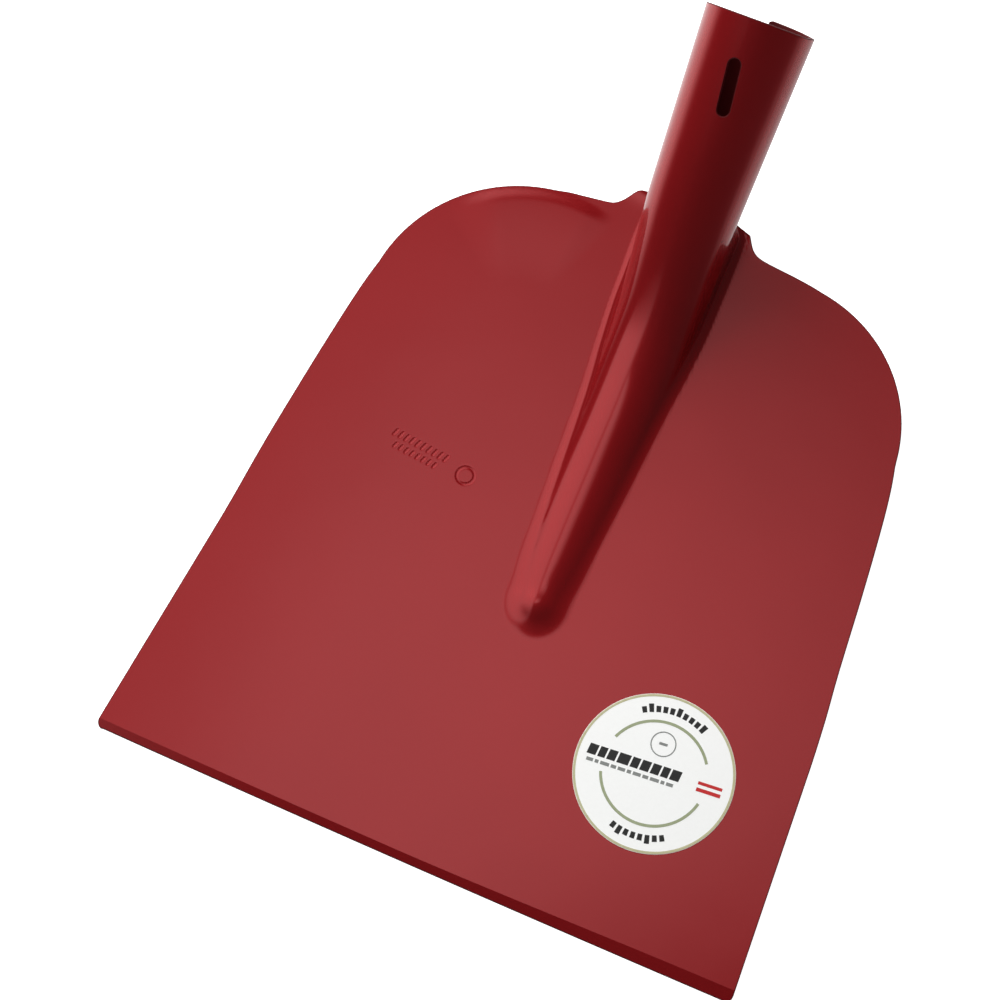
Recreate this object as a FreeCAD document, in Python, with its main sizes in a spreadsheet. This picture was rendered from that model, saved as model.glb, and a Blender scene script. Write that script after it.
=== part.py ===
import FreeCAD, Part
import Sketcher
import math
import os

# Head of a square-mouth sand shovel: one pressed steel sheet with a stiffening rib,
# a rolled handle socket and a round paper label.
#
# Lengths are millimetres and angles degrees. The sketches and sections below are drawn with
# y measured from the front edge, and every sub-part's placement moves that point so that
# the document's origin is the middle of the underside of the whole head.
# X points right, Y from the front edge to the socket, Z up from the blade's face.

DIMENSIONS = (
    # the pressed sheet
    ("sheet_thickness", 1.5),
    ("front_width", 255.8),
    ("front_bow", 0.6),
    ("corner_radius", 4.0),
    ("side_slope", 5.1),
    ("blade_length", 271.2),
    ("shoulder_radius", 61.5),
    ("neck_root_half", 28.0),
    ("bevel_width", 4.0),
    ("bevel_drop", 0.8),
    # the rib pressed up out of the blade
    ("nose_position", 92.5),
    ("nose_radius", 12.0),
    ("nose_height", 4.8),
    ("rib_mid_position", 150.0),
    ("rib_mid_half", 14.5),
    ("rib_mid_height", 6.4),
    ("rib_rear_position", 205.0),
    ("rib_rear_half", 17.0),
    ("rib_rear_height", 10.3),
    ("rib_bend_position", 228.0),
    ("rib_bend_half", 16.9),
    ("rib_bend_height", 16.9),
    ("rib_end_position", 245.0),
    ("rib_end_half", 14.0),
    ("rib_end_height", 27.0),
    ("rib_lean", 5.3),
    # the rolled socket
    ("mouth_position", 334.6),
    ("mouth_height", 66.1),
    ("socket_lift", 33.3),
    ("mouth_radius", 21.56),
    ("mouth_skew", 4.7),
    ("mouth_allowance", 4.0),
    ("socket_taper", 0.0412),
    ("tube_length", 50.0),
    ("flap_step", 1.3),
    ("seam_gap", 1.2),
    ("slot_length", 22.0),
    ("slot_width", 5.0),
    ("slot_setback", 25.0),
    ("slot_lean", -6.0),
    # the weld and the label
    ("weld_crown", 0.5),
    ("weld_setback", 2.2),
    ("label_radius", 30.0),
    ("label_thickness", 0.12),
    ("label_offset", 70.5),
    ("label_position", 66.6),
    # half of the head's overall length
    ("middle", 172.97),
)

doc = FreeCAD.newDocument("SandShovelHead")
sheet = doc.addObject("Spreadsheet::Sheet", "Dimensions")
for row, (alias, value) in enumerate(DIMENSIONS, start=1):
    sheet.set("A%d" % row, alias)
    sheet.set("B%d" % row, str(value))
    sheet.setAlias("B%d" % row, alias)
doc.recompute()

V = FreeCAD.Vector
EAST = V(1, 0, 0)


def dim(alias):
    """The value of one driving dimension."""
    return float(sheet.get(alias))


def cell(alias):
    return "Dimensions." + alias


def bind(obj, **expressions):
    """Bind properties of obj to the spreadsheet; a double underscore stands for a dot."""
    for name, expression in expressions.items():
        obj.setExpression(name.replace("__", "."), expression)


def add(kind, name, **expressions):
    obj = doc.addObject(kind, name)
    bind(obj, **expressions)
    return obj


def feature(name, shape):
    obj = doc.addObject("Part::Feature", name)
    obj.Shape = shape
    return obj


# ---------------------------------------------------------------- blade outline

def outline():
    """The right half of the blade's edge: front corner, side end, shoulder end, neck root.

    The side leans in by side_slope, the top edge is square to it, and one arc joins the two.
    """
    slope = math.radians(dim("side_slope"))
    along = V(-math.sin(slope), math.cos(slope), 0)
    inward = V(-along.y, along.x, 0)
    corner = V(dim("front_width") / 2, dim("front_bow"), 0)
    root = V(dim("neck_root_half"), dim("blade_length"), 0)
    apex = corner + along * (root - corner).dot(along)
    side_end = apex - along * dim("shoulder_radius")
    shoulder_end = apex + inward * dim("shoulder_radius")
    return corner, side_end, shoulder_end, root


def flip(point):
    return V(-point.x, point.y, point.z)


START, END = 1, 2           # a sketch edge's two ends
ROOT, UPRIGHT = -1, -2      # the sketch's origin (point 1 of -1) and its vertical axis


def draw_outline(sketch):
    """Draw the blade's closed outline and tie it to the driving dimensions."""
    corner, side_end, shoulder_end, root = outline()

    def line(first, last):
        return sketch.addGeometry(Part.LineSegment(first, last), False)

    def turn(first, last):
        """Quarter arc that runs anticlockwise from first to last."""
        half = (last - first) / 2
        middle = (first + last) / 2 + V(half.y, -half.x, 0) * (math.sqrt(2) - 1)
        return sketch.addGeometry(Part.Arc(first, middle, last), False)

    front = sketch.addGeometry(Part.Arc(flip(corner), V(0, 0, 0), corner), False)
    side = line(corner, side_end)
    shoulder = turn(side_end, shoulder_end)
    top = line(shoulder_end, root)
    neck = line(root, flip(root))
    top_left = line(flip(root), flip(shoulder_end))
    shoulder_left = turn(flip(shoulder_end), flip(side_end))
    side_left = line(flip(side_end), flip(corner))

    def tie(kind, *args):
        return sketch.addConstraint(Sketcher.Constraint(kind, *args))

    def drive(name, expression, kind, *args):
        index = tie(kind, *args)
        sketch.renameConstraint(index, name)
        sketch.setExpression("Constraints." + name, expression)

    for first, last in ((front, side), (top, neck), (neck, top_left), (side_left, front)):
        tie("Coincident", first, END, last, START)
    for first, last in ((side, shoulder), (shoulder, top),
                        (top_left, shoulder_left), (shoulder_left, side_left)):
        tie("Tangent", first, END, last, START)
    tie("Perpendicular", side, top)
    tie("PointOnObject", ROOT, 1, front)
    tie("Symmetric", side, START, side_left, END, UPRIGHT)
    tie("Symmetric", side, END, side_left, START, UPRIGHT)
    tie("Symmetric", neck, START, neck, END, UPRIGHT)
    drive("half_front", cell("front_width") + " / 2",
          "DistanceX", ROOT, 1, side, START, corner.x)
    drive("bow", cell("front_bow"), "DistanceY", ROOT, 1, side, START, corner.y)
    drive("half_root", cell("neck_root_half"), "DistanceX", ROOT, 1, neck, START, root.x)
    drive("length", cell("blade_length"), "DistanceY", ROOT, 1, neck, START, root.y)
    drive("shoulder", cell("shoulder_radius"), "Radius", shoulder, dim("shoulder_radius"))
    drive("lean", "90 deg + %s * 1 deg" % cell("side_slope"),
          "Angle", side, math.radians(90 + dim("side_slope")))


def make_plate():
    """The flat blade: outline padded to the sheet's thickness, corners and front ground."""
    body = doc.addObject("PartDesign::Body", "plate")
    plane = [f for f in body.Origin.OriginFeatures if f.Role == "XY_Plane"][0]
    sketch = body.newObject("Sketcher::SketchObject", "plate_outline")
    sketch.AttachmentSupport = [(plane, "")]
    sketch.MapMode = "FlatFace"
    draw_outline(sketch)
    pad = body.newObject("PartDesign::Pad", "plate_pad")
    pad.Profile = sketch
    bind(pad, Length=cell("sheet_thickness"))
    doc.recompute()

    def edges(shape, test):
        return ["Edge%d" % (i + 1) for i, edge in enumerate(shape.Edges) if test(edge)]

    def at_corner(edge):
        point = edge.CenterOfMass
        upright = abs(edge.Vertexes[0].Point.z - edge.Vertexes[-1].Point.z) > 0.1
        return upright and point.y < dim("corner_radius")

    corners = body.newObject("PartDesign::Fillet", "plate_corners")
    corners.Base = (pad, edges(pad.Shape, at_corner))
    bind(corners, Radius=cell("corner_radius"))
    doc.recompute()

    def at_front(edge):
        point = edge.CenterOfMass
        return abs(point.z - dim("sheet_thickness")) < 1e-6 and abs(point.x) < 1e-3 \
            and point.y < dim("corner_radius")

    bevel = body.newObject("PartDesign::Chamfer", "plate_bevel")
    bevel.Base = (corners, edges(corners.Shape, at_front))
    bevel.ChamferType = "Two distances"
    bevel.UseAllEdges = False
    bind(bevel, Size=cell("bevel_drop"), Size2=cell("bevel_width"))
    body.Tip = bevel
    doc.recompute()
    return body


# ---------------------------------------------------------------- rib and neck

def lean_at(y):
    """How far the rib's ridge stands right of the middle; it leans from neck to nose."""
    span = dim("rib_end_position") - dim("nose_position")
    return dim("rib_lean") * (dim("rib_end_position") - y) / span


NOSE_TURNS = (18, 36, 54, 72)       # where the nose's round is sampled, in degrees


def rib_stations():
    """(y, half width, height) of the rib's outer face, from the nose back to the neck."""
    nose, radius, height = (dim("nose_" + word) for word in ("position", "radius", "height"))
    stations = []
    for degrees in NOSE_TURNS:
        turn = math.radians(degrees)
        stations.append((nose + radius * (1 - math.cos(turn)),
                         radius * math.sin(turn), height * math.sin(turn)))
    stations.append((nose + radius, radius, height))
    for place in ("mid", "rear", "bend", "end"):
        stations.append(tuple(dim("rib_%s_%s" % (place, word))
                              for word in ("position", "half", "height")))
    return stations


def arch(y, half, height, shrink, floor):
    """Closed arch section across the blade at y.

    A round arc stands on z = 0 with the given half width and height. shrink moves the
    arc towards its centre, and a floor below zero carries the section down to it.
    """
    radius = (half * half + height * height) / (2 * height)
    centre = V(lean_at(y), y, height - radius)
    radius -= shrink
    reach = math.sqrt(radius * radius - centre.z ** 2)
    left, right = (V(centre.x + side * reach, y, 0) for side in (-1, 1))
    points = [right, left]
    edges = [Part.Arc(left, centre + V(0, 0, radius), right).toShape()]
    if floor < 0:
        points = [right, right + V(0, 0, floor), left + V(0, 0, floor), left]
    edges += [Part.makeLine(a, b) for a, b in zip(points, points[1:])]
    return Part.Wire(edges)


def arch_loft(stations, shrink=0.0, floor=0.0):
    """Solid with straight generators from each arch section to the next."""
    return Part.makeLoft([arch(*s, shrink, floor) for s in stations], True, True)


def axis_point(distance):
    """Point on the socket's axis, distance in from the mouth."""
    lift = math.radians(dim("socket_lift"))
    return V(0, dim("mouth_position") - distance * math.cos(lift),
             dim("mouth_height") - distance * math.sin(lift))


NECK_SHARES = (0.0, 0.35, 0.7, 1.0)     # places of the neck's sections, as shares of its run
CLOSING = 0.8                           # below 1 the flaps close sooner than the run goes


def neck_sections():
    """(centre, tilt, radius, half angle) of the open sections between rib and socket.

    The sheet's two flaps close from an arch standing on the blade to the rolled tube while
    the section turns square to the socket's axis.
    """
    half, height = dim("rib_end_half"), dim("rib_end_height")
    radius = (half * half + height * height) / (2 * height)
    start = V(0, dim("rib_end_position"), height - radius)
    spread = 180 - math.degrees(math.asin(half / radius))
    finish = axis_point(dim("tube_length"))
    tube = dim("mouth_radius") - dim("socket_taper") * dim("tube_length")
    closed = 180 - math.degrees(math.asin(dim("seam_gap") / 2 / tube))
    sections = []
    for share in NECK_SHARES:
        sections.append((start + (finish - start) * share, dim("socket_lift") * share,
                         radius + (tube - radius) * share,
                         spread + (closed - spread) * share ** CLOSING))
    return sections


def sector(centre, tilt, radius, half_angle, inner):
    """Closed band section: the sheet bent round centre, open at the rear."""
    tip = math.radians(tilt)
    up = V(0, -math.sin(tip), math.cos(tip))

    def at(angle, length):
        turn = math.radians(angle)
        return centre + (EAST * math.sin(turn) + up * math.cos(turn)) * length

    outer_arc = Part.Arc(at(-half_angle, radius), at(0, radius), at(half_angle, radius))
    inner_arc = Part.Arc(at(half_angle, inner), at(0, inner), at(-half_angle, inner))
    return Part.Wire([outer_arc.toShape(), Part.makeLine(at(half_angle, radius),
                                                         at(half_angle, inner)),
                      inner_arc.toShape(), Part.makeLine(at(-half_angle, inner),
                                                         at(-half_angle, radius))])


def throat(sections, depth):
    """Prism between the two flaps' feet, where the plate is open under the neck."""
    feet = [V(r * math.sin(math.radians(a)), c.y, -depth) for c, t, r, a in sections]
    rim = feet + [flip(p) for p in reversed(feet)] + feet[:1]
    return Part.Face(Part.makePolygon(rim)).extrude(V(0, 0, 2 * depth))


HOLLOW_FROM = 2.4       # the rib is open underneath where it is this many sheets high
BEYOND = 3              # how many sheet thicknesses a cutter passes beyond the sheet


def make_rib_and_neck():
    """The pressed rib, the neck behind it, and the tool that opens the plate for both."""
    stations = rib_stations()
    thickness = dim("sheet_thickness")
    hollow = [s for s in stations if s[2] > HOLLOW_FROM * thickness]
    below = -BEYOND * thickness
    rib = arch_loft(stations).cut(arch_loft(hollow, thickness, below))
    sections = neck_sections()
    neck_wires = [sector(c, t, r, a, r - thickness) for c, t, r, a in sections]
    neck = Part.makeLoft(neck_wires, True, False)
    under = Part.makeBox(dim("front_width"), dim("blade_length") * 2, dim("mouth_radius"),
                         V(-dim("front_width") / 2, 0, -dim("mouth_radius")))
    neck = neck.cut(under)
    tool = arch_loft(stations, 0.0, below).fuse([throat(sections, -below), neck])
    return feature("blade_rib", rib), feature("socket_neck", neck), feature("relief", tool)


# ---------------------------------------------------------------- socket

def socket_placement():
    """The socket's own frame: origin at the mouth, Z out of it, Y towards the seam."""
    return FreeCAD.Placement(axis_point(0), FreeCAD.Rotation(EAST, dim("socket_lift") - 90))


def make_socket():
    """The rolled, tapered tube with its fixing slot, its seam and its proud rear flap."""
    overall = "(%s + %s)" % (cell("tube_length"), cell("mouth_allowance"))
    wide = "%s + %s * %s" % (cell("mouth_radius"), cell("socket_taper"),
                             cell("mouth_allowance"))
    narrow = "%s - %s * %s" % (cell("mouth_radius"), cell("socket_taper"), cell("tube_length"))
    foot = "-" + cell("tube_length")
    skin = add("Part::Cone", "socket_skin", Radius1=narrow, Radius2=wide, Height=overall,
               Placement__Base__z=foot)
    hollow = add("Part::Cone", "socket_hollow",
                 Radius1="%s - %s" % (narrow, cell("sheet_thickness")),
                 Radius2="%s - %s" % (wide, cell("sheet_thickness")), Height=overall,
                 Placement__Base__z=foot)
    pipe = add("Part::Cut", "socket_pipe")
    pipe.Base, pipe.Tool = skin, hollow

    # the seam, open before it is welded
    seam = add("Part::Box", "seam_opening", Length=cell("seam_gap"), Width=cell("mouth_radius"),
               Height=overall, Placement__Base__x="-%s / 2" % cell("seam_gap"),
               Placement__Base__z=foot, Placement__Base__y="%s / 2" % cell("mouth_radius"))

    # the mouth is cut a little askew; the right rear flap stands proud of the cut at the seam
    # and slopes down to it at the side
    reach = "2 * " + cell("mouth_radius")
    tall = "3 * " + cell("mouth_allowance")
    left = add("Part::Box", "trim_left", Length=reach, Width="2 * " + reach, Height=tall,
               Placement__Base__x="-" + reach, Placement__Base__y="-" + reach)
    face = add("Part::Box", "trim_face", Length=reach, Width=reach, Height=tall,
               Placement__Base__y="-" + reach)
    slope = add("Part::Box", "trim_slope", Length=reach, Width="2 * " + reach, Height=tall,
                Placement__Base__z=cell("flap_step"), Placement__Base__y="-" + reach)
    slope.Placement.Rotation = FreeCAD.Rotation(V(0, 1, 0), dim("mouth_skew"))
    bind(slope, Placement__Rotation__Angle="atan(%s / %s)" % (cell("flap_step"),
                                                              cell("mouth_radius")))
    trim = add("Part::MultiFuse", "mouth_trim")
    trim.Shapes = [left, face, slope]
    trim.Placement.Rotation = FreeCAD.Rotation(EAST, -dim("mouth_skew"))

    # fixing slot through the face side
    bar = add("Part::Box", "slot_bar", Length=cell("slot_width"), Width=cell("mouth_radius"),
              Height="%s - %s" % (cell("slot_length"), cell("slot_width")))
    half_run = "(%s - %s) / 2" % (cell("slot_length"), cell("slot_width"))
    bind(bar, Placement__Base__x="-%s / 2" % cell("slot_width"),
         Placement__Base__z="-" + half_run, Placement__Base__y="-" + reach + " / 2")
    ends = []
    for name, sign in (("slot_mouth_end", ""), ("slot_neck_end", "-")):
        end = add("Part::Cylinder", name, Radius=cell("slot_width") + " / 2",
                  Height=cell("mouth_radius"), Placement__Base__z=sign + half_run)
        end.Placement.Rotation = FreeCAD.Rotation(EAST, 90)
        ends.append(end)
    slot = add("Part::MultiFuse", "slot_cutter")
    slot.Shapes = [bar] + ends
    slot.Placement.Rotation = FreeCAD.Rotation(V(0, 1, 0), dim("slot_lean"))
    bind(slot, Placement__Base__z="-" + cell("slot_setback"))

    cutters = add("Part::MultiFuse", "socket_cutters")
    cutters.Shapes = [seam, trim, slot]
    tube = add("Part::Cut", "socket_tube")
    tube.Base, tube.Tool = pipe, cutters
    tube.Placement = socket_placement()
    return tube


def make_weld():
    """The bead that closes the socket's rear seam, proud of the outside by its crown."""
    taper = math.degrees(math.atan(dim("socket_taper")))
    bead = add("Part::Box", "socket_seam_weld", Length=cell("seam_gap"),
               Width="%s + %s" % (cell("sheet_thickness"), cell("weld_crown")),
               Height="%s - %s" % (cell("tube_length"), cell("weld_setback")))
    foot = V(-dim("seam_gap") / 2, dim("mouth_radius") - dim("sheet_thickness")
             - dim("socket_taper") * dim("tube_length"), -dim("tube_length"))
    local = FreeCAD.Placement(foot, FreeCAD.Rotation(EAST, -taper))
    bead.Placement = socket_placement().multiply(local)
    return bead


def make_label():
    """The round paper label glued to the blade's face."""
    return add("Part::Cylinder", "round_label", Radius=cell("label_radius"),
               Height=cell("label_thickness"), Placement__Base__x=cell("label_offset"),
               Placement__Base__z=cell("sheet_thickness"))


# ---------------------------------------------------------------- assembly

plate = make_plate()
rib, neck, relief = make_rib_and_neck()
pan = add("Part::Cut", "blade_pan")
pan.Base, pan.Tool = plate, relief
tube = make_socket()
weld = make_weld()
label = make_label()
doc.recompute()

middle = V(0, dim("middle"), 0)
parts = [pan, rib, neck, tube, weld, label]
bind(label, Placement__Base__y="%s - %s" % (cell("label_position"), cell("middle")))
for part in parts[:-1]:
    part.Placement.Base = part.Placement.Base - middle
doc.recompute()

for obj in doc.Objects:
    bad = [word for word in ("Invalid", "Error") if word in obj.State]
    if bad:
        raise RuntimeError("%s: %s" % (obj.Name, bad))
for part in parts:
    if part.Shape.isNull() or not part.Shape.isValid():
        raise RuntimeError(part.Name + " has no valid shape")
    part.Label = part.Name

os.makedirs("parts", exist_ok=True)
for part in parts:
    part.Shape.exportStep(os.path.join("parts", part.Label + ".step"))
    box = part.Shape.BoundBox
    print("%-18s %9.1f mm3  x %.1f %.1f  y %.1f %.1f  z %.1f %.1f" % (
        part.Label, part.Shape.Volume, box.XMin, box.XMax, box.YMin, box.YMax,
        box.ZMin, box.ZMax), len(part.Shape.Solids))
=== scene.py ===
import math

import bpy
import numpy as np
from mathutils import Matrix, Vector
from mathutils.geometry import delaunay_2d_cdt


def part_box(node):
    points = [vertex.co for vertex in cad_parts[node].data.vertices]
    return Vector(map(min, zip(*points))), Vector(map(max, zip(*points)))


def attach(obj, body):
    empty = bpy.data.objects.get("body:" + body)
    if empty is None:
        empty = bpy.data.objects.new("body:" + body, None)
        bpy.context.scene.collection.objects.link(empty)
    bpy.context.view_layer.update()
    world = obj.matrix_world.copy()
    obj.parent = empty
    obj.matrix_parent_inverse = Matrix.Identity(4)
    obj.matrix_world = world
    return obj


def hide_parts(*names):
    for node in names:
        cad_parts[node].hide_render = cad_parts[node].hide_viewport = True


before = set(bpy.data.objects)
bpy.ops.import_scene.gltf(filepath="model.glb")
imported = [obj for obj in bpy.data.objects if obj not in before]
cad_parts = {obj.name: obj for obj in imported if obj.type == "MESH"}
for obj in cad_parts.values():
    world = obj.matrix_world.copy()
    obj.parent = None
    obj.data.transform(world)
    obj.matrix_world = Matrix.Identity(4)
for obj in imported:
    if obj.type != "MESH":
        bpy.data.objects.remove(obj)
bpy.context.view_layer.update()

# Lengths below are millimetres in the blade's own frame: origin at the middle of the front
# edge on the upper face, x to the right, y to the socket, z up. SHIFT carries them to the
# CAD frame.
MM = 0.001
THICKNESS = 1.5
pan_low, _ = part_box("blade_pan")
SHIFT = np.array((0.0, pan_low.y / MM, THICKNESS))


# ---------------------------------------------------------------- helpers

def smoothstep(t):
    t = np.clip(t, 0.0, 1.0)
    return t * t * (3 - 2 * t)


def smooth_max(a, b, width):
    return width * np.logaddexp(a / width, b / width)


def curve(x, knots):
    """Smooth curve through the (x, value) knots, level beyond both ends."""
    px, value = np.array(knots, float).T
    slope = np.gradient(value, px)
    slope[0] = slope[-1] = 0.0
    x = np.clip(x, px[0], px[-1])
    i = np.clip(np.searchsorted(px, x, side="right") - 1, 0, len(px) - 2)
    step = px[i + 1] - px[i]
    t = (x - px[i]) / step
    u = 1 - t
    return ((1 + 2 * t) * u * u * value[i] + t * u * u * step * slope[i]
            + t * t * (3 - 2 * t) * value[i + 1] - t * t * u * step * slope[i + 1])


def unit(v):
    return v / np.maximum(np.linalg.norm(v, axis=-1, keepdims=True), 1e-12)


def noise(x, y, size, seed):
    """Smooth noise between -1 and 1, with bumps of about the given size."""
    rng = np.random.default_rng(seed)
    total = np.zeros(np.broadcast(x, y).shape)
    for _ in range(9):
        angle, phase = rng.uniform(0, 2 * math.pi, 2)
        wave = rng.uniform(0.6, 1.6) * 2 * math.pi / size
        total = total + np.sin((x * math.cos(angle) + y * math.sin(angle)) * wave + phase)
    return total / 9


# ---------------------------------------------------------------- the pressed sheet

LIFT = math.radians(33.3)
MOUTH_Y, MOUTH_Z = 334.6, 64.6
MOUTH_RADIUS, TAPER = 21.56, 0.0412
NOSE, NOSE_SQUASH = 110.0, 0.84
CLOSED = 306.0             # foot position from which the socket is a closed tube
FRONT_BOW, FRONT_HALF = 0.6, 127.9
BEVEL_DROP = 0.9
SIDE_LEAN = math.radians(5.13)          # how far each side of the blade leans in
CORNER_RADIUS = 2.9
SHOULDER_X, SHOULDER_Y, SHOULDER_RADIUS = 47.5, 207.6, 61.5
SEAM_START = CLOSED + 1.5
MOUTH_FOOT = MOUTH_Y + MOUTH_RADIUS * math.sin(LIFT)
FOOT_HEIGHT = MOUTH_Z - MOUTH_RADIUS * math.cos(LIFT)
FOOT_SLOPE = math.tan(LIFT - math.atan(TAPER))
FOOT_RATE = math.cos(LIFT) + TAPER * math.sin(LIFT)


def section(s):
    """The section whose foot stands at s: tilt, foot height, centre height, radius, flare.

    Each section is an arch of the given radius round a centre, an upright skirt where the arch
    stands high, a concave flare at each foot and a level wing beyond. Behind the neck the arch
    closes to the whole socket.
    """
    tilt = LIFT * smoothstep((s - 200) / 62)
    slack = 7.5 * (1 - smoothstep((s - 281) / (CLOSED - 281)))
    foot = smooth_max(FOOT_HEIGHT - (MOUTH_FOOT - s) * FOOT_SLOPE - slack, 0.0, 1.2)
    axis = MOUTH_Z - (MOUTH_Y - s) * math.tan(LIFT)
    on_axis = (axis - foot) / (np.cos(tilt) + math.tan(LIFT) * np.sin(tilt))
    rib_radius = curve(s, ((NOSE, 14.0), (125, 16.5), (142, 18.0), (160, 18.5), (180, 18.0),
                           (200, 17.6), (230, 17.1)))
    ridge = curve(s, ((NOSE, 3.1), (125, 3.8), (142, 4.5), (160, 5.4), (180, 6.7),
                      (200, 8.2), (220, 10.3), (250, 13.0)))
    centre = smooth_max(ridge - rib_radius, on_axis, 6.5)
    along = (MOUTH_Y - (s - centre * np.sin(tilt))) / math.cos(LIFT)
    cone = MOUTH_RADIUS - TAPER * along
    share = smoothstep((s - 210) / 40)
    radius = rib_radius * (1 - share) + cone * share
    flare = curve(s, ((NOSE, 17.0), (125, 12.5), (142, 9.5), (160, 8.7), (180, 7.6),
                      (200, 6.5), (220, 5.2), (240, 4.5), (262, 4.2), (281, 3.0),
                      (298, 1.0), (CLOSED, 0.03)))
    return tilt, foot, centre, radius, flare


def lean(s):
    """How far the rib's ridge stands right of the middle."""
    return curve(s, ((90, 5.6), (107, 5.3), (125, 4.6), (160, 4.0), (200, 3.3), (240, 2.0),
                     (265, 0.8), (290, 0.0)))


def section_run(s):
    """Turn of the arch, length of the skirt, half width and arc length out to the wing."""
    _, _, centre, radius, flare = section(s)
    tangent = np.arccos(np.clip((flare - centre) / (radius + flare), -1.0, 1.0))
    tangent = tangent + (1.05 * math.pi - tangent) * smoothstep((s - 284) / 8)
    widest = math.pi / 2 * (1 + 1.15 * smoothstep((s - 276) / (CLOSED - 276)))
    soft = math.radians(2.0)
    turn = -smooth_max(-tangent, -widest, soft)
    fall = centre + radius * np.cos(turn) - flare * (1 - np.cos(turn))
    skirt = np.maximum(fall, 0.0) / np.maximum(np.sin(turn), 0.05) \
        + 25 * smoothstep((s - 281.8) / 9)
    reach = (radius + flare) * np.sin(turn) + skirt * np.cos(turn)
    return turn, skirt, reach, (radius + flare) * turn + skirt


def stamp(x, y):
    """Two rows of plain strokes pressed into the blade, and a ring beside them."""
    turn = math.radians(-6)
    u = (x + 53) * math.cos(turn) + (y - 146) * math.sin(turn)
    v = -(x + 53) * math.sin(turn) + (y - 146) * math.cos(turn)
    depth = np.zeros(np.broadcast(x, y).shape)
    for row, count, left, tall in ((2.4, 10, -20.0, 1.1), (-2.2, 8, -17.5, 0.8)):
        for i in range(count):
            du = u - (left + 2.5 * i) - 0.25 * (v - row)
            dv = np.maximum(np.abs(v - row) - tall, 0)
            depth = depth + np.exp(-(du * du + dv * dv) / 0.22)
    ring = np.hypot(u - 12.5, v) - 3.4
    depth = depth + np.exp(-ring * ring / 0.25)
    return -0.16 * depth


def roll(x, y):
    """The left shoulder's edge curls down a little from a slight swell inside it."""
    height, swell_width, curl_width = 0.5, 36.0, 7.0
    from_centre = np.hypot(x + SHOULDER_X, y - SHOULDER_Y)
    bearing = np.degrees(np.arctan2(y - SHOULDER_Y, x + SHOULDER_X))
    window = smoothstep((bearing - 72) / 14) * smoothstep((142 - bearing) / 22)
    swell = smoothstep((from_centre - 20) / swell_width)
    curl = smoothstep((from_centre - SHOULDER_RADIUS) / curl_width + 1)
    return height * (swell - curl ** 1.5) * window


def pip(x, y):
    """The small blunt bump at the rib's nose."""
    return 0.6 * np.exp(-((x - 4.6) / 5.6) ** 2 - ((y - 108) / 4.4) ** 2)


def form(a, s):
    """Upper face of the formed sheet at arc length a across and foot position s."""
    at = np.maximum(s, NOSE)
    tilt, foot, centre, radius, flare = section(at)
    turn, skirt, reach, run = section_run(at)
    side, m = np.where(a < 0, -1.0, 1.0), np.abs(a)
    angle = np.minimum(m / radius, turn)
    down = np.clip(m - radius * turn, 0.0, skirt)
    curl = turn - np.clip(m - radius * turn - skirt, 0.0, flare * turn) / flare
    across = radius * np.sin(angle) + down * np.cos(turn) \
        + flare * (np.sin(turn) - np.sin(curl)) + np.maximum(m - run, 0.0)
    height = centre + radius * np.cos(angle) - down * np.sin(turn) \
        - flare * (np.cos(curl) - np.cos(turn))

    # ahead of the rib's nose the same section turns round the nose's centre
    plan = np.hypot(across, np.maximum(NOSE - s, 0.0) * NOSE_SQUASH)
    dome = centre + np.sqrt(np.maximum(radius ** 2 - plan ** 2, 0.0))
    hollow = np.clip((reach - plan) / flare, 0.0, 1.0)
    fillet = flare * (1 - np.sqrt(1 - hollow ** 2))
    ahead = np.where(plan < radius * np.sin(turn), dome, fillet)
    height = np.where(s < NOSE, ahead, height)

    fade = np.where(m > run, np.exp(-(np.maximum(across - 22, 0) / 10) ** 2), 1.0)
    x = lean(s) + side * across
    y = s - height * np.sin(tilt)
    z = foot * fade + height * np.cos(tilt)
    z = z + stamp(x, y) + roll(x, y) + pip(x, y)
    return np.stack((x, y, z), -1)


def normals(a, s):
    step = 0.02
    across = form(a + step, s) - form(a - step, s)
    along = form(a, s + step) - form(a, s - step)
    return unit(np.cross(across, along))


def to_blank(x, s):
    """Arc length across for a point x of the flat blade beside the rib."""
    _, _, reach, run = section_run(np.maximum(s, NOSE))
    offset = x - lean(s)
    return np.sign(offset) * (np.abs(offset) + run - reach)


# ---------------------------------------------------------------- outline of the blank

def walk(points, spacing):
    """The same polyline with points at about the given spacing."""
    points = np.array(points, float)
    length = np.r_[0, np.cumsum(np.linalg.norm(np.diff(points, axis=0), axis=1))]
    count = max(2, int(math.ceil(length[-1] / spacing)) + 1)
    at = np.linspace(0, length[-1], count)
    return np.stack([np.interp(at, length, points[:, k]) for k in range(2)], 1)


def arc(centre, radius, first, last, count=40):
    """Points on a circle between two bearings in degrees."""
    angle = np.radians(np.linspace(first, last, count))
    return np.stack((centre[0] + radius * np.cos(angle),
                     centre[1] + radius * np.sin(angle)), 1)


# plan points (x, y) of the top edge by the neck, from the shoulder in to the wing's tip
NECK_RIGHT = ((54.1, 269.0), (50.5, 269.6), (44.4, 270.45), (37.2, 271.2), (33.7, 271.6),
              (30.3, 272.1), (27.7, 272.9), (26.2, 274.0), (25.0, 275.3), (24.0, 276.7),
              (23.2, 278.2), (22.3, 279.6))
NECK_LEFT = ((-54.3, 268.95), (-52.2, 269.5), (-49.8, 269.95), (-45.2, 270.5), (-38.7, 271.4),
             (-35.4, 271.85), (-33.6, 272.2), (-32.2, 272.9), (-31.0, 274.0), (-29.8, 275.3),
             (-28.8, 276.9), (-27.8, 278.5), (-26.8, 280.0), (-25.5, 281.1), (-24.2, 281.4))
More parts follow.
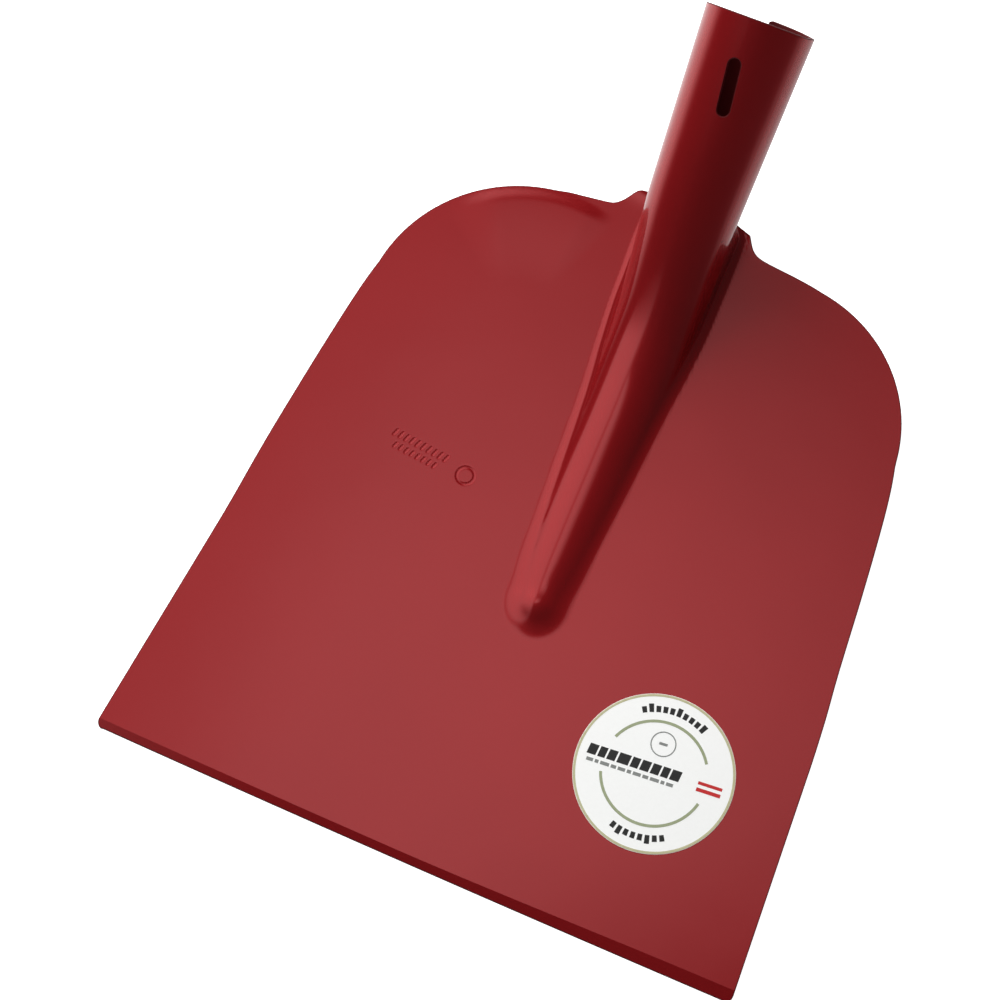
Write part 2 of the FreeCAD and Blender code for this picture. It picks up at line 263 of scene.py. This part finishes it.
# (arc length, foot) points of the free edge from the tip back to the closed socket
FREE_RIGHT = ((53.2, 281.6), (52.6, 283.2), (52.8, 286.0), (54.6, 291.0), (57.2, 297.0),
              (59.7, 302.0))
FREE_LEFT = ((-54.6, 282.2), (-53.0, 283.4), (-52.8, 286.0), (-54.6, 291.0), (-57.2, 297.0),
             (-59.7, 302.0))
SEAM_HALF = 0.6


def plan_side():
    """(x, y) points of the blade's edge from the front's middle round the right shoulder."""
    slope = math.degrees(SIDE_LEAN)
    along = np.array((-math.sin(SIDE_LEAN), math.cos(SIDE_LEAN)))
    inward = np.array((-along[1], along[0]))
    corner_centre = np.array((FRONT_HALF, FRONT_BOW)) + (inward + along) * CORNER_RADIUS
    front = np.stack((np.linspace(0, corner_centre[0], 60),
                      FRONT_BOW * np.linspace(0, 1, 60) ** 2), 1)
    shoulder = arc((SHOULDER_X, SHOULDER_Y), SHOULDER_RADIUS, slope, 81)
    return np.concatenate((front, arc(corner_centre, CORNER_RADIUS, -90 + slope, slope)[1:],
                           shoulder))


def seam_line():
    """(a, s) points up the seam's right side to the mouth."""
    s = np.linspace(SEAM_START, MOUTH_FOOT - 3, 60)
    return np.stack((math.pi * section(s)[3] - SEAM_HALF, s), 1)


def mouth_line():
    """(a, s) points round the mouth, cut askew, with the right rear flap left proud."""
    turn = np.linspace(1, -1, 121) * (math.pi - SEAM_HALF / MOUTH_RADIUS)
    proud = 1.3 * smoothstep((turn - math.radians(82)) / math.radians(90)) \
        + 0.45 * smoothstep((turn - math.radians(70)) / math.radians(12))
    proud = np.where(turn > math.radians(176), proud * 0.55, proud)
    out = 1.77 * np.cos(turn) + proud
    return np.stack((turn * MOUTH_RADIUS, MOUTH_FOOT + out * FOOT_RATE), 1)


def blank_outline():
    """The whole outline of the sheet laid flat, anticlockwise from the front's middle."""
    plan = plan_side()
    flip = np.array((-1.0, 1.0))
    right = np.concatenate((plan, NECK_RIGHT))
    left = np.concatenate((plan * flip, NECK_LEFT))[1:]
    right = np.stack((to_blank(right[:, 0], right[:, 1]), right[:, 1]), 1)
    left = np.stack((to_blank(left[:, 0], left[:, 1]), left[:, 1]), 1)
    return np.concatenate((right, FREE_RIGHT, seam_line(), mouth_line(),
                           (seam_line() * flip)[::-1], FREE_LEFT[::-1], left[::-1]))


def outline_points():
    """The closed outline of the blank, anticlockwise, finely spaced in its curved parts."""
    loop = blank_outline()
    # spacing follows the place: coarse along the blade's straight edges
    pieces = []
    start = 0
    fine = (loop[:, 1] > 255) | (loop[:, 1] < 9)
    for i in range(1, len(loop) + 1):
        if i == len(loop) or fine[i] != fine[start]:
            run = loop[max(start - 1, 0):i]
            if len(run) > 1:
                pieces.append(walk(run, 1.3 if fine[start] else 2.6)[1:])
            start = i
    points = np.concatenate(pieces)
    closed = np.concatenate((points, points[:1]))
    keep = np.linalg.norm(np.diff(closed, axis=0), axis=1) > 0.25
    return points[keep]


def slot_points():
    """The fixing slot's edge in the blank."""
    length, width, setback = 22.0, 5.0, 25.0
    turn = math.radians(-6)
    half = (length - width) / 2
    around = np.concatenate((arc((half, 0), width / 2, -90, 90, 14),
                             arc((-half, 0), width / 2, 90, 270, 14)))
    around = walk(np.concatenate((around, around[:1])), 0.8)[:-1]
    v, u = around[:, 0], -around[:, 1]
    a = u * math.cos(turn) + v * math.sin(turn)
    d = -u * math.sin(turn) + v * math.cos(turn)
    return np.stack((a, MOUTH_FOOT + (d - setback) * FOOT_RATE), 1)[::-1]


def inset(loop, distance):
    """The loop moved to its left, into the sheet, by distance."""
    ahead, behind = np.roll(loop, -1, 0), np.roll(loop, 1, 0)
    tangent = unit(unit(ahead - loop) + unit(loop - behind))
    inward = np.stack((-tangent[:, 1], tangent[:, 0]), 1)
    return loop + inward * distance


def inside(points, loop):
    """Which points lie within the loop."""
    x, y = points[:, :1], points[:, 1:]
    x1, y1 = loop[:, 0], loop[:, 1]
    x2, y2 = np.roll(x1, -1), np.roll(y1, -1)
    crosses = (y1 > y) != (y2 > y)
    with np.errstate(divide="ignore", invalid="ignore"):
        at = x1 + (y - y1) * (x2 - x1) / (y2 - y1)
    return (crosses & (x < at)).sum(1) % 2 == 1


def clearance(points, loop):
    """Distance of each point from the loop's nearest corner."""
    best = np.full(len(points), 1e9)
    for start in range(0, len(points), 4000):
        part = points[start:start + 4000]
        gap = np.linalg.norm(part[:, None] - loop[None], axis=2).min(1)
        best[start:start + 4000] = gap
    return best


def ground(x):
    """Width of the strip ground along the front edge; it widens to the right."""
    return 3.2 + 1.7 * smoothstep((x + 10) / 135)


def lattice():
    """Points inside the blank: close together on the rib, neck and socket."""
    def rows(*runs):
        return np.concatenate([np.arange(lo, hi, step) for lo, hi, step in runs])

    s_rows = rows((6.2, 84, 3.0), (84, 122, 1.4), (122, 232, 1.8), (232, 350, 1.15))
    near = np.arange(-62.4, 62.5, 1.3)
    far = np.arange(65, 150, 3.0)
    a_rows = np.concatenate((-far[::-1], near, far))
    grid = np.stack(np.meshgrid(a_rows, s_rows), -1).reshape(-1, 2)
    # the stamped strokes need a closer net
    stamp_a = to_blank(np.array(-53.0), np.array(146.0))
    fine_a = np.arange(stamp_a - 23, stamp_a + 18, 0.42)
    fine_s = np.arange(139, 154, 0.42)
    patch = np.stack(np.meshgrid(fine_a, fine_s), -1).reshape(-1, 2)
    in_patch = ((grid[:, 0] > stamp_a - 23.3) & (grid[:, 0] < stamp_a + 18.2)
                & (grid[:, 1] > 138.7) & (grid[:, 1] < 154.2))
    return np.concatenate((grid[~in_patch], patch))


EDGE_RADIUS = 0.35
EDGE_STEPS = 4


def build_head():
    """Mesh of the whole formed sheet: both faces, rounded edges and the ground front."""
    nominal = outline_points()
    slot = slot_points()
    loops = [inset(nominal, EDGE_RADIUS), inset(slot, EDGE_RADIUS)]

    points = lattice()
    points = points[inside(points, loops[0]) & ~inside(points, loops[1])]
    wide = (points[:, 1] < 84) | (np.abs(points[:, 0]) > 63)
    gap = np.minimum(clearance(points, loops[0]), clearance(points, loops[1]))
    points = points[gap > np.where(wide, 1.2, 0.75)]

    # the crease behind the ground front edge
    half = FRONT_HALF - 0.55 - EDGE_RADIUS * 1.4
    crease_x = np.linspace(-half, half, 100)
    crease_s = ground(crease_x) + FRONT_BOW * (crease_x / FRONT_HALF) ** 2
    crease = np.stack((to_blank(crease_x, crease_s), crease_s), 1)

    verts = np.concatenate((loops[0], loops[1], points, crease))
    n0, n1 = len(loops[0]), len(loops[1])
    n2 = n0 + n1 + len(points)
    edges = [(i, (i + 1) % n0) for i in range(n0)]
    edges += [(n0 + i, n0 + (i + 1) % n1) for i in range(n1)]
    edges += [(n2 + i, n2 + i + 1) for i in range(len(crease) - 1)]
    out = delaunay_2d_cdt([Vector(p) for p in verts], edges, [], 0, 1e-6, True)
    flat = np.array([tuple(v) for v in out[0]])
    tris = np.array([f for f in out[2] if len(f) == 3])
    mids = flat[tris].mean(1)
    tris = tris[inside(mids, loops[0]) & ~inside(mids, loops[1])]
    e1 = flat[tris[:, 1]] - flat[tris[:, 0]]
    e2 = flat[tris[:, 2]] - flat[tris[:, 0]]
    turned = e1[:, 0] * e2[:, 1] - e1[:, 1] * e2[:, 0] < 0
    tris[turned] = tris[turned][:, ::-1]
    used, tris = np.unique(tris, return_inverse=True)
    tris = tris.reshape(-1, 3)
    flat = flat[used]
    origin = [list(o) for o in (out[3][i] for i in used)]
    where = {}
    for i, ids in enumerate(origin):
        for k in ids:
            where[k] = i

    a, s = flat[:, 0], flat[:, 1]
    face = form(a, s)
    normal = normals(a, s)
    below = face - normal * THICKNESS
    line = FRONT_BOW * (face[:, 0] / FRONT_HALF) ** 2
    strip = ground(face[:, 0])
    drop = BEVEL_DROP / strip * np.maximum(strip - (face[:, 1] - line), 0)
    top = face - np.stack((0 * drop, 0 * drop, drop), 1)

    count = len(flat)
    vertices = [top, below]
    faces = [tuple(t) for t in tris] + [tuple(t[::-1] + count) for t in tris]
    ground_normal = unit(np.stack((0 * strip, -BEVEL_DROP / strip, 1 + 0 * strip), 1))
    is_bevel = (face[:, 1] - line - strip)[tris].mean(1) < 0
    corner_normals = []
    for t, flag in zip(tris, is_bevel):
        corner_normals += [(ground_normal if flag else normal)[k] for k in t]
    for t in tris:
        corner_normals += [-normal[k] for k in t[::-1]]

    # painted shade: the socket's inside and the sheared edges take a near-black coat that
    # stands in for the shade inside the tube and the dark outline along the edges
    painted_shade_faces = [False] * len(tris) + list(s[tris].mean(1) > CLOSED)

    # rounded edges: one strip of rings along each loop
    base = 2 * count
    quarter = np.linspace(0, math.pi / 2, EDGE_STEPS + 1)[1:]
    for start, size in ((0, n0), (n0, n1)):
        ids = np.array([where[start + i] for i in range(size)])
        t_pos, b_pos, n_vec = top[ids], below[ids], normal[ids]
        tangent = unit(np.roll(t_pos, -1, 0) - np.roll(t_pos, 1, 0))
        out_vec = unit(np.cross(tangent, n_vec))
        front = line[ids] + strip[ids] > face[ids][:, 1]
        n_top = np.where(front[:, None], ground_normal[ids], n_vec)
        rings, ring_normals = [t_pos], [n_top]
        for angle in quarter:
            direction = out_vec * math.sin(angle) + n_top * math.cos(angle)
            rings.append(t_pos - n_top * EDGE_RADIUS + direction * EDGE_RADIUS)
            ring_normals.append(unit(direction))
        for angle in quarter[::-1]:
            direction = out_vec * math.sin(angle) - n_vec * math.cos(angle)
            rings.append(b_pos + n_vec * EDGE_RADIUS + direction * EDGE_RADIUS)
            ring_normals.append(unit(direction))
        rings.append(b_pos)
        ring_normals.append(-n_vec)
        index = [ids]
        for ring in rings[1:-1]:
            index.append(base + np.arange(size))
            vertices.append(ring)
            base += size
        index.append(ids + count)
        for j in range(len(rings) - 1):
            for i in range(size):
                k = (i + 1) % size
                faces.append((index[j][i], index[j + 1][i], index[j + 1][k], index[j][k]))
                # the edge rings take the near-black painted-shade coat
                painted_shade_faces.append(True)
                corner_normals += [ring_normals[j][i], ring_normals[j + 1][i],
                                   ring_normals[j + 1][k], ring_normals[j][k]]
    return np.concatenate(vertices), faces, np.array(corner_normals), painted_shade_faces


# ---------------------------------------------------------------- objects

def make_object(name, points, faces, material, corner_normals=None, smooth=True):
    mesh = bpy.data.meshes.new(name)
    placed = (np.asarray(points, float) + SHIFT) * MM
    mesh.from_pydata(placed.tolist(), [], [tuple(int(i) for i in f) for f in faces])
    mesh.validate()
    for polygon in mesh.polygons:
        polygon.use_smooth = smooth
    if corner_normals is not None:
        mesh.normals_split_custom_set([Vector(n) for n in corner_normals])
    mesh.materials.append(material)
    obj = bpy.data.objects.new(name, mesh)
    bpy.context.scene.collection.objects.link(obj)
    return obj


def grid_faces(rings, around, closed=True):
    faces = []
    for j in range(rings - 1):
        for i in range(around if closed else around - 1):
            k = (i + 1) % around
            faces.append((j * around + i, j * around + k,
                          (j + 1) * around + k, (j + 1) * around + i))
    return faces


def build_weld():
    """The bead along the socket's rear seam, rippled and a little uneven."""
    start, finish, around, rings = SEAM_START, MOUTH_FOOT - 2.2, 20, 200
    s = np.linspace(start, finish, rings)
    radius = section(s)[3]
    foot = form(math.pi * radius, s)
    out_dir = np.array((0.0, math.sin(LIFT), -math.cos(LIFT)))
    length = (s - start) / FOOT_RATE
    ripple = 0.09 * np.cos(length * 2 * math.pi / 1.7) + 0.05 * noise(length, 0 * length, 5, 3)
    ends = np.sqrt(np.clip(np.minimum(length, length[::-1]) / 1.4, 0.02, 1))
    points = []
    for k in range(around):
        angle = 2 * math.pi * k / around
        u, v = math.cos(angle), math.sin(angle)
        wide = (1.9 if v > 0 else 0.9) + ripple
        tall = (0.5 + ripple) if v > 0 else np.full(rings, THICKNESS + 0.25)
        wander = 0.15 * noise(length, 0 * length, 14, 8)
        across = u * wide * ends + wander
        up = v * tall * np.where(v > 0, ends, 1.0) * (1 if v > 0 else 0.9)
        points.append(foot + across[:, None] * np.array((1.0, 0, 0)) + up[:, None] * out_dir)
    points = np.stack(points, 1).reshape(-1, 3)
    faces = grid_faces(rings, around)
    faces.append(tuple(range(around))[::-1])
    faces.append(tuple((rings - 1) * around + i for i in range(around)))
    return points, faces


# ---------------------------------------------------------------- materials

def new_material(name):
    material = bpy.data.materials.new(name)
    material.use_nodes = True
    tree = material.node_tree
    tree.nodes.clear()
    out = tree.nodes.new("ShaderNodeOutputMaterial")
    shader = tree.nodes.new("ShaderNodeBsdfPrincipled")
    tree.links.new(shader.outputs[0], out.inputs[0])
    return material, tree, shader


def link(tree, source, target):
    tree.links.new(source, target)


def noise_node(tree, coords, scale, detail=2.0, roughness=0.5):
    made = tree.nodes.new("ShaderNodeTexNoise")
    made.inputs["Scale"].default_value = scale
    made.inputs["Detail"].default_value = detail
    made.inputs["Roughness"].default_value = roughness
    link(tree, coords, made.inputs["Vector"])
    return made


def ramp(tree, source, stops):
    made = tree.nodes.new("ShaderNodeValToRGB")
    elements = made.color_ramp.elements
    while len(elements) < len(stops):
        elements.new(0.5)
    for element, (place, colour) in zip(elements, stops):
        element.position = place
        element.color = tuple(colour) + (1.0,)
    link(tree, source, made.inputs[0])
    return made


def lacquer(name, low, high, metallic, coat, roughness):
    """Gloss red stoving enamel on steel: slight orange peel and tone variation."""
    material, tree, shader = new_material(name)
    coords = tree.nodes.new("ShaderNodeTexCoord").outputs["Object"]
    tone = noise_node(tree, coords, 9.0, 3.0)
    colour = ramp(tree, tone.outputs["Fac"], ((0.25, low), (0.75, high)))
    link(tree, colour.outputs[0], shader.inputs["Base Color"])
    shader.inputs["Metallic"].default_value = metallic
    shader.inputs["Roughness"].default_value = roughness
    shader.inputs["Coat Weight"].default_value = coat
    shader.inputs["Coat Roughness"].default_value = 0.04
    shader.inputs["Coat IOR"].default_value = 1.5
    peel = noise_node(tree, coords, 420.0, 2.0)
    swell = noise_node(tree, coords, 28.0, 1.0)
    both = tree.nodes.new("ShaderNodeMath")
    both.operation = "MULTIPLY_ADD"
    both.inputs[1].default_value = 0.02
    link(tree, peel.outputs["Fac"], both.inputs[0])
    link(tree, swell.outputs["Fac"], both.inputs[2])
    bump = tree.nodes.new("ShaderNodeBump")
    bump.inputs["Strength"].default_value = 0.12
    bump.inputs["Distance"].default_value = 0.0006
    link(tree, both.outputs[0], bump.inputs["Height"])
    link(tree, bump.outputs[0], shader.inputs["Coat Normal"])
    link(tree, bump.outputs[0], shader.inputs["Normal"])
    return material


def paper(name, low, high, roughness=0.35):
    """Coated label paper or its ink, with faint fibre mottling."""
    material, tree, shader = new_material(name)
    coords = tree.nodes.new("ShaderNodeTexCoord").outputs["Object"]
    fibre = noise_node(tree, coords, 900.0, 4.0, 0.6)
    colour = ramp(tree, fibre.outputs["Fac"], ((0.3, low), (0.7, high)))
    link(tree, colour.outputs[0], shader.inputs["Base Color"])
    shader.inputs["Roughness"].default_value = roughness
    bump = tree.nodes.new("ShaderNodeBump")
    bump.inputs["Strength"].default_value = 0.05
    bump.inputs["Distance"].default_value = 0.0002
    link(tree, fibre.outputs["Fac"], bump.inputs["Height"])
    link(tree, bump.outputs[0], shader.inputs["Normal"])
    return material


red = lacquer("red_lacquer", (0.325, 0.0052, 0.0078), (0.358, 0.0066, 0.0098), 0.55, 0.68,
              0.23)
# painted shade: a near-black lacquer standing in for the shade inside the socket and along the
# sheared edges
painted_shade_coat = lacquer("painted_shade_lacquer", (0.06, 0.002, 0.003), (0.09, 0.003, 0.004), 0.0, 0.0,
               0.5)
white = paper("label_white", (0.945, 0.95, 0.935), (0.97, 0.975, 0.96))
green = paper("label_green", (0.30, 0.34, 0.20), (0.34, 0.38, 0.24))
black = paper("label_black", (0.012, 0.012, 0.012), (0.02, 0.02, 0.02))
gold = paper("label_gold", (0.46, 0.44, 0.26), (0.54, 0.52, 0.32))
grey = paper("label_grey", (0.20, 0.21, 0.20), (0.25, 0.26, 0.25))
signal = paper("label_red", (0.50, 0.02, 0.02), (0.56, 0.03, 0.03))

points, faces, corner_normals, painted_shade_faces = build_head()
head = make_object("shovel_head_sheet", points, faces, red, corner_normals)
head.data.materials.append(painted_shade_coat)
assert len(head.data.polygons) == len(painted_shade_faces)
# painted shade: the flagged faces (socket inside, edge rings) take the near-black coat
for polygon, flag in zip(head.data.polygons, painted_shade_faces):
    polygon.material_index = int(flag)
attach(head, "root")
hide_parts("blade_pan", "blade_rib", "socket_neck", "socket_tube")

points, faces = build_weld()
weld = make_object("seam_weld_bead", points, faces, red)
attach(weld, "root")
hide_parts("socket_seam_weld")


# ---------------------------------------------------------------- label

LABEL_X, LABEL_Y, LABEL_RADIUS, LABEL_THICKNESS = 70.5, 66.6, 30.0, 0.12
LABEL_TURN = math.radians(5)
INK = 0.03


def on_label(u, v, z):
    c, k = math.cos(LABEL_TURN), math.sin(LABEL_TURN)
    u, v = np.asarray(u, float), np.asarray(v, float)
    return np.stack((LABEL_X + u * c - v * k, LABEL_Y + u * k + v * c,
                     np.broadcast_to(z, u.shape)), -1)


def ring_strip(radii_heights, around):
    """Rings (radius, z) round the label's centre, joined into one surface."""
    angle = np.linspace(0, 2 * math.pi, around, endpoint=False)
    points = [on_label(r * np.cos(angle), r * np.sin(angle), z) for r, z in radii_heights]
    return np.concatenate(points), grid_faces(len(radii_heights), around)


def build_disc():
    top, around = LABEL_THICKNESS, 144
    rings = [(0.05, top)] + [(r, top) for r in np.linspace(2, 28, 14)]
    rings += [(LABEL_RADIUS - 0.1, top), (LABEL_RADIUS - 0.03, top - 0.02),
              (LABEL_RADIUS, top - 0.05), (LABEL_RADIUS, 0.0)]
    rings = rings[::-1]
    points, faces = ring_strip(rings, around)
    faces.append(tuple((len(rings) - 1) * around + i for i in range(around)))
    faces.append(tuple(range(around))[::-1])
    return points, faces


def add_block(store, loop):
    """Append a thin plate of ink with the given (u, v) outline, drawn anticlockwise."""
    points, faces = store
    loop = np.array(loop, float)
    count, base = len(loop), len(points)
    low = on_label(loop[:, 0], loop[:, 1], LABEL_THICKNESS - 0.01)
    high = on_label(loop[:, 0], loop[:, 1], LABEL_THICKNESS + INK)
    points.extend(low.tolist() + high.tolist())
    for i in range(count):
        k = (i + 1) % count
        faces.append((base + i, base + k, base + count + k, base + count + i))
    if count > 12:      # a band: outer half then inner half
        half = count // 2
        for i in range(half - 1):
            quad = (i, i + 1, count - 2 - i, count - 1 - i)
            faces.append(tuple(base + count + q for q in quad))
            faces.append(tuple(base + q for q in quad[::-1]))
    else:
        faces.append(tuple(base + count + i for i in range(count)))
        faces.append(tuple(base + i for i in range(count))[::-1])


def band(radius, width, first, last, step=2.0):
    count = max(8, int(abs(last - first) / step))
    angle = np.radians(np.linspace(first, last, count))
    outer = np.stack((np.cos(angle), np.sin(angle)), 1) * (radius + width / 2)
    inner = np.stack((np.cos(angle), np.sin(angle)), 1) * (radius - width / 2)
    return np.concatenate((outer, inner[::-1]))


def bar(u0, v0, u1, v1):
    return [(u0, v0), (u1, v0), (u1, v1), (u0, v1)]


def print_piece(name, loops, material):
    store = ([], [])
    for loop in loops:
        add_block(store, loop)
    obj = make_object(name, store[0], store[1], material, smooth=False)
    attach(obj, "root")
    return obj


points, faces = build_disc()
disc = make_object("label_disc", points, faces, white, smooth=False)
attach(disc, "root")
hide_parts("round_label")

WORD = (3.4, 2.8, 3.2, 4.4, 3.0, 3.4, 3.2, 2.8, 3.6)
LINE = (2.6, 1.4, 3.4, 2.0, 2.8, 1.6, 3.0, 2.2, 3.4, 1.4, 2.6)


def blocks(widths, u, v, height, gap, slant=0.0):
    """A row of plain blocks from u to the right, as wide as widths says."""
    row = []
    for width in widths:
        row.append([(u, v), (u + width, v), (u + width + slant, v + height),
                    (u + slant, v + height)])
        u += width + gap
    return row


def arched(radius, height, middle, count, pitch):
    """A row of upright strokes on a circle, as long and short as letters."""
    row = []
    for i in range(count):
        at = middle + (i - (count - 1) / 2) * pitch
        tall = height * (1.35 if i % 4 == 1 else 1.0)
        row.append(band(radius + (tall - height) / 2, tall, at + 2.1, at - 2.1, 0.6))
    return row


print_piece("label_print_rim", [band(29.4, 0.9, 120 * i, 120 * i + 120) for i in range(3)],
            gold)
print_piece("label_print_green", [band(19.6, 1.1, 28, 154), band(19.6, 1.1, 196, 343)], green)
print_piece("label_print_black",
            blocks(WORD, -26.0, -0.4, 4.0, 0.7, 0.5)
            + arched(24.2, 2.4, 88, 10, -6.2) + arched(24.2, 2.4, 272, 8, 6.4), black)
print_piece("label_print_grey",
            blocks(LINE, -25.4, -3.0, 1.3, 0.7)
            + [[(u, v + 11.4) for u, v in band(4.6, 0.45, turn, turn + 180, 10)]
               for turn in (0, 180)]
            + [bar(-1.6, 10.9, 1.6, 11.9)], grey)
print_piece("label_print_red", [bar(16.4, 1.2, 25.6, 2.4), bar(16.4, -1.4, 25.6, 0.0)], signal)


# ---------------------------------------------------------------- studio

def make_camera():
    data = bpy.data.cameras.new("camera")
    data.lens = 86.4
    data.sensor_width = 36.0
    data.clip_start = 0.05
    camera = bpy.data.objects.new("camera", data)
    right = Vector((0.91355, 0.40481, -0.03948))
    up = Vector((-0.37398, 0.87418, 0.30976))
    back = right.cross(up)
    turn = Matrix((right, up, back)).transposed()
    camera.matrix_world = Matrix.Translation(Vector((0.12227, -0.10502 + pan_low.y, 0.87244))) \
        @ turn.to_4x4()
    bpy.context.scene.collection.objects.link(camera)
    bpy.context.scene.camera = camera


def make_floor():
    """Round pale floor; the backdrop carries on from its edge in the same tone."""
    around, radius = 96, 0.6
    turn = [2 * math.pi * i / around for i in range(around)]
    mesh = bpy.data.meshes.new("floor")
    mesh.from_pydata([(radius * math.cos(t), radius * math.sin(t), 0) for t in turn], [],
                     [tuple(range(around))])
    material, _, shader = new_material("floor")
    shader.inputs["Base Color"].default_value = (0.95, 0.95, 0.95, 1)
    shader.inputs["Roughness"].default_value = 0.9
    shader.inputs["Specular IOR Level"].default_value = 0.0
    shader.inputs["Emission Color"].default_value = (1, 1, 1, 1)
    shader.inputs["Emission Strength"].default_value = 1.0
    mesh.materials.append(material)
    floor = bpy.data.objects.new("floor", mesh)
    bpy.context.scene.collection.objects.link(floor)
    floor.visible_glossy = False


def area_light(name, place, target, size, energy, colour=(1, 1, 1)):
    data = bpy.data.lights.new(name, "AREA")
    data.shape = "RECTANGLE"
    data.size, data.size_y = size
    data.energy = energy
    data.color = colour
    light = bpy.data.objects.new(name, data)
    place, target = Vector(place), Vector(target)
    light.matrix_world = Matrix.Translation(place) @ \
        (place - target).to_track_quat("Z", "Y").to_matrix().to_4x4()
    bpy.context.scene.collection.objects.link(light)
    return light


def make_world():
    """Studio surroundings: an overhead box, a long box on the left, dark in front and right.

    Matt surfaces are lit evenly from all round and the backdrop is plain and pale.
    """
    world = bpy.data.worlds.new("studio")
    world.use_nodes = True
    tree = world.node_tree
    background = tree.nodes["Background"]

    def math_node(kind, a, b=None):
        made = tree.nodes.new("ShaderNodeMath")
        made.operation = kind
        for i, value in enumerate((a, b)):
            if value is None:
                continue
            if isinstance(value, (int, float)):
                made.inputs[i].default_value = value
            else:
                tree.links.new(value, made.inputs[i])
        return made.outputs[0]

    def ease(value, low, high):
        made = tree.nodes.new("ShaderNodeMapRange")
        made.interpolation_type = "SMOOTHSTEP"
        for i, end in ((1, low), (2, high)):
            made.inputs[i].default_value = end
        tree.links.new(value, made.inputs[0])
        return made.outputs[0]

    direction = tree.nodes.new("ShaderNodeTexCoord").outputs["Generated"]
    parts = tree.nodes.new("ShaderNodeSeparateXYZ")
    tree.links.new(direction, parts.inputs[0])
    x, y, z = parts.outputs
    height = math_node("MAXIMUM", z, 0.02)
    u = math_node("DIVIDE", x, height)
    v = math_node("DIVIDE", y, height)

    def product(*values):
        total = values[0]
        for value in values[1:]:
            total = math_node("MULTIPLY", total, value)
        return total

    falling = math_node("ADD", product(ease(u, 0.1, -0.15), 0.42), 0.58)
    askew = math_node("SUBTRACT", v, product(u, 0.7))
    overhead = product(falling, ease(u, 0.15, 0.09), ease(u, -0.32, -0.20),
                       ease(askew, 0.06, 0.22), ease(v, 0.58, 0.2), 1.05)
    left = product(ease(u, -0.22, -0.42), ease(u, -2.9, -2.2), ease(v, -1.1, -0.1),
                   ease(v, 2.5, 0.8), 1.0)
    wall = product(ease(z, 0.10, -0.28), ease(x, 0.3, -0.3), 1.0)
    low = product(ease(z, -0.10, -0.60), ease(x, -0.3, 0.3), 0.5)
    glow = math_node("ADD", math_node("ADD", overhead, left),
                     math_node("ADD", math_node("ADD", wall, low), 0.06))

    rays = tree.nodes.new("ShaderNodeLightPath").outputs
    shade = tree.nodes.new("ShaderNodeMix")
    tree.links.new(rays["Is Diffuse Ray"], shade.inputs[0])
    tree.links.new(glow, shade.inputs[2])
    shade.inputs[3].default_value = 0.1
    seen = tree.nodes.new("ShaderNodeMix")
    tree.links.new(rays["Is Camera Ray"], seen.inputs[0])
    tree.links.new(shade.outputs[0], seen.inputs[2])
    seen.inputs[3].default_value = 1.0
    background.inputs["Color"].default_value = (1, 1, 1, 1)
    tree.links.new(seen.outputs[0], background.inputs["Strength"])
    bpy.context.scene.world = world


make_camera()
make_floor()
make_world()
key = area_light("key", (-1.2, 1.25, 1.05), (0, 0, 0), (1.6, 1.6), 68)
fill = area_light("fill", (-0.03, -0.11, 0.45), (-0.03, -0.11, 0), (0.25, 0.25), 0.5)
for lamp in (key, fill):
    lamp.visible_glossy = False
    lamp.visible_camera = False
bpy.context.scene.view_settings.view_transform = "Standard"
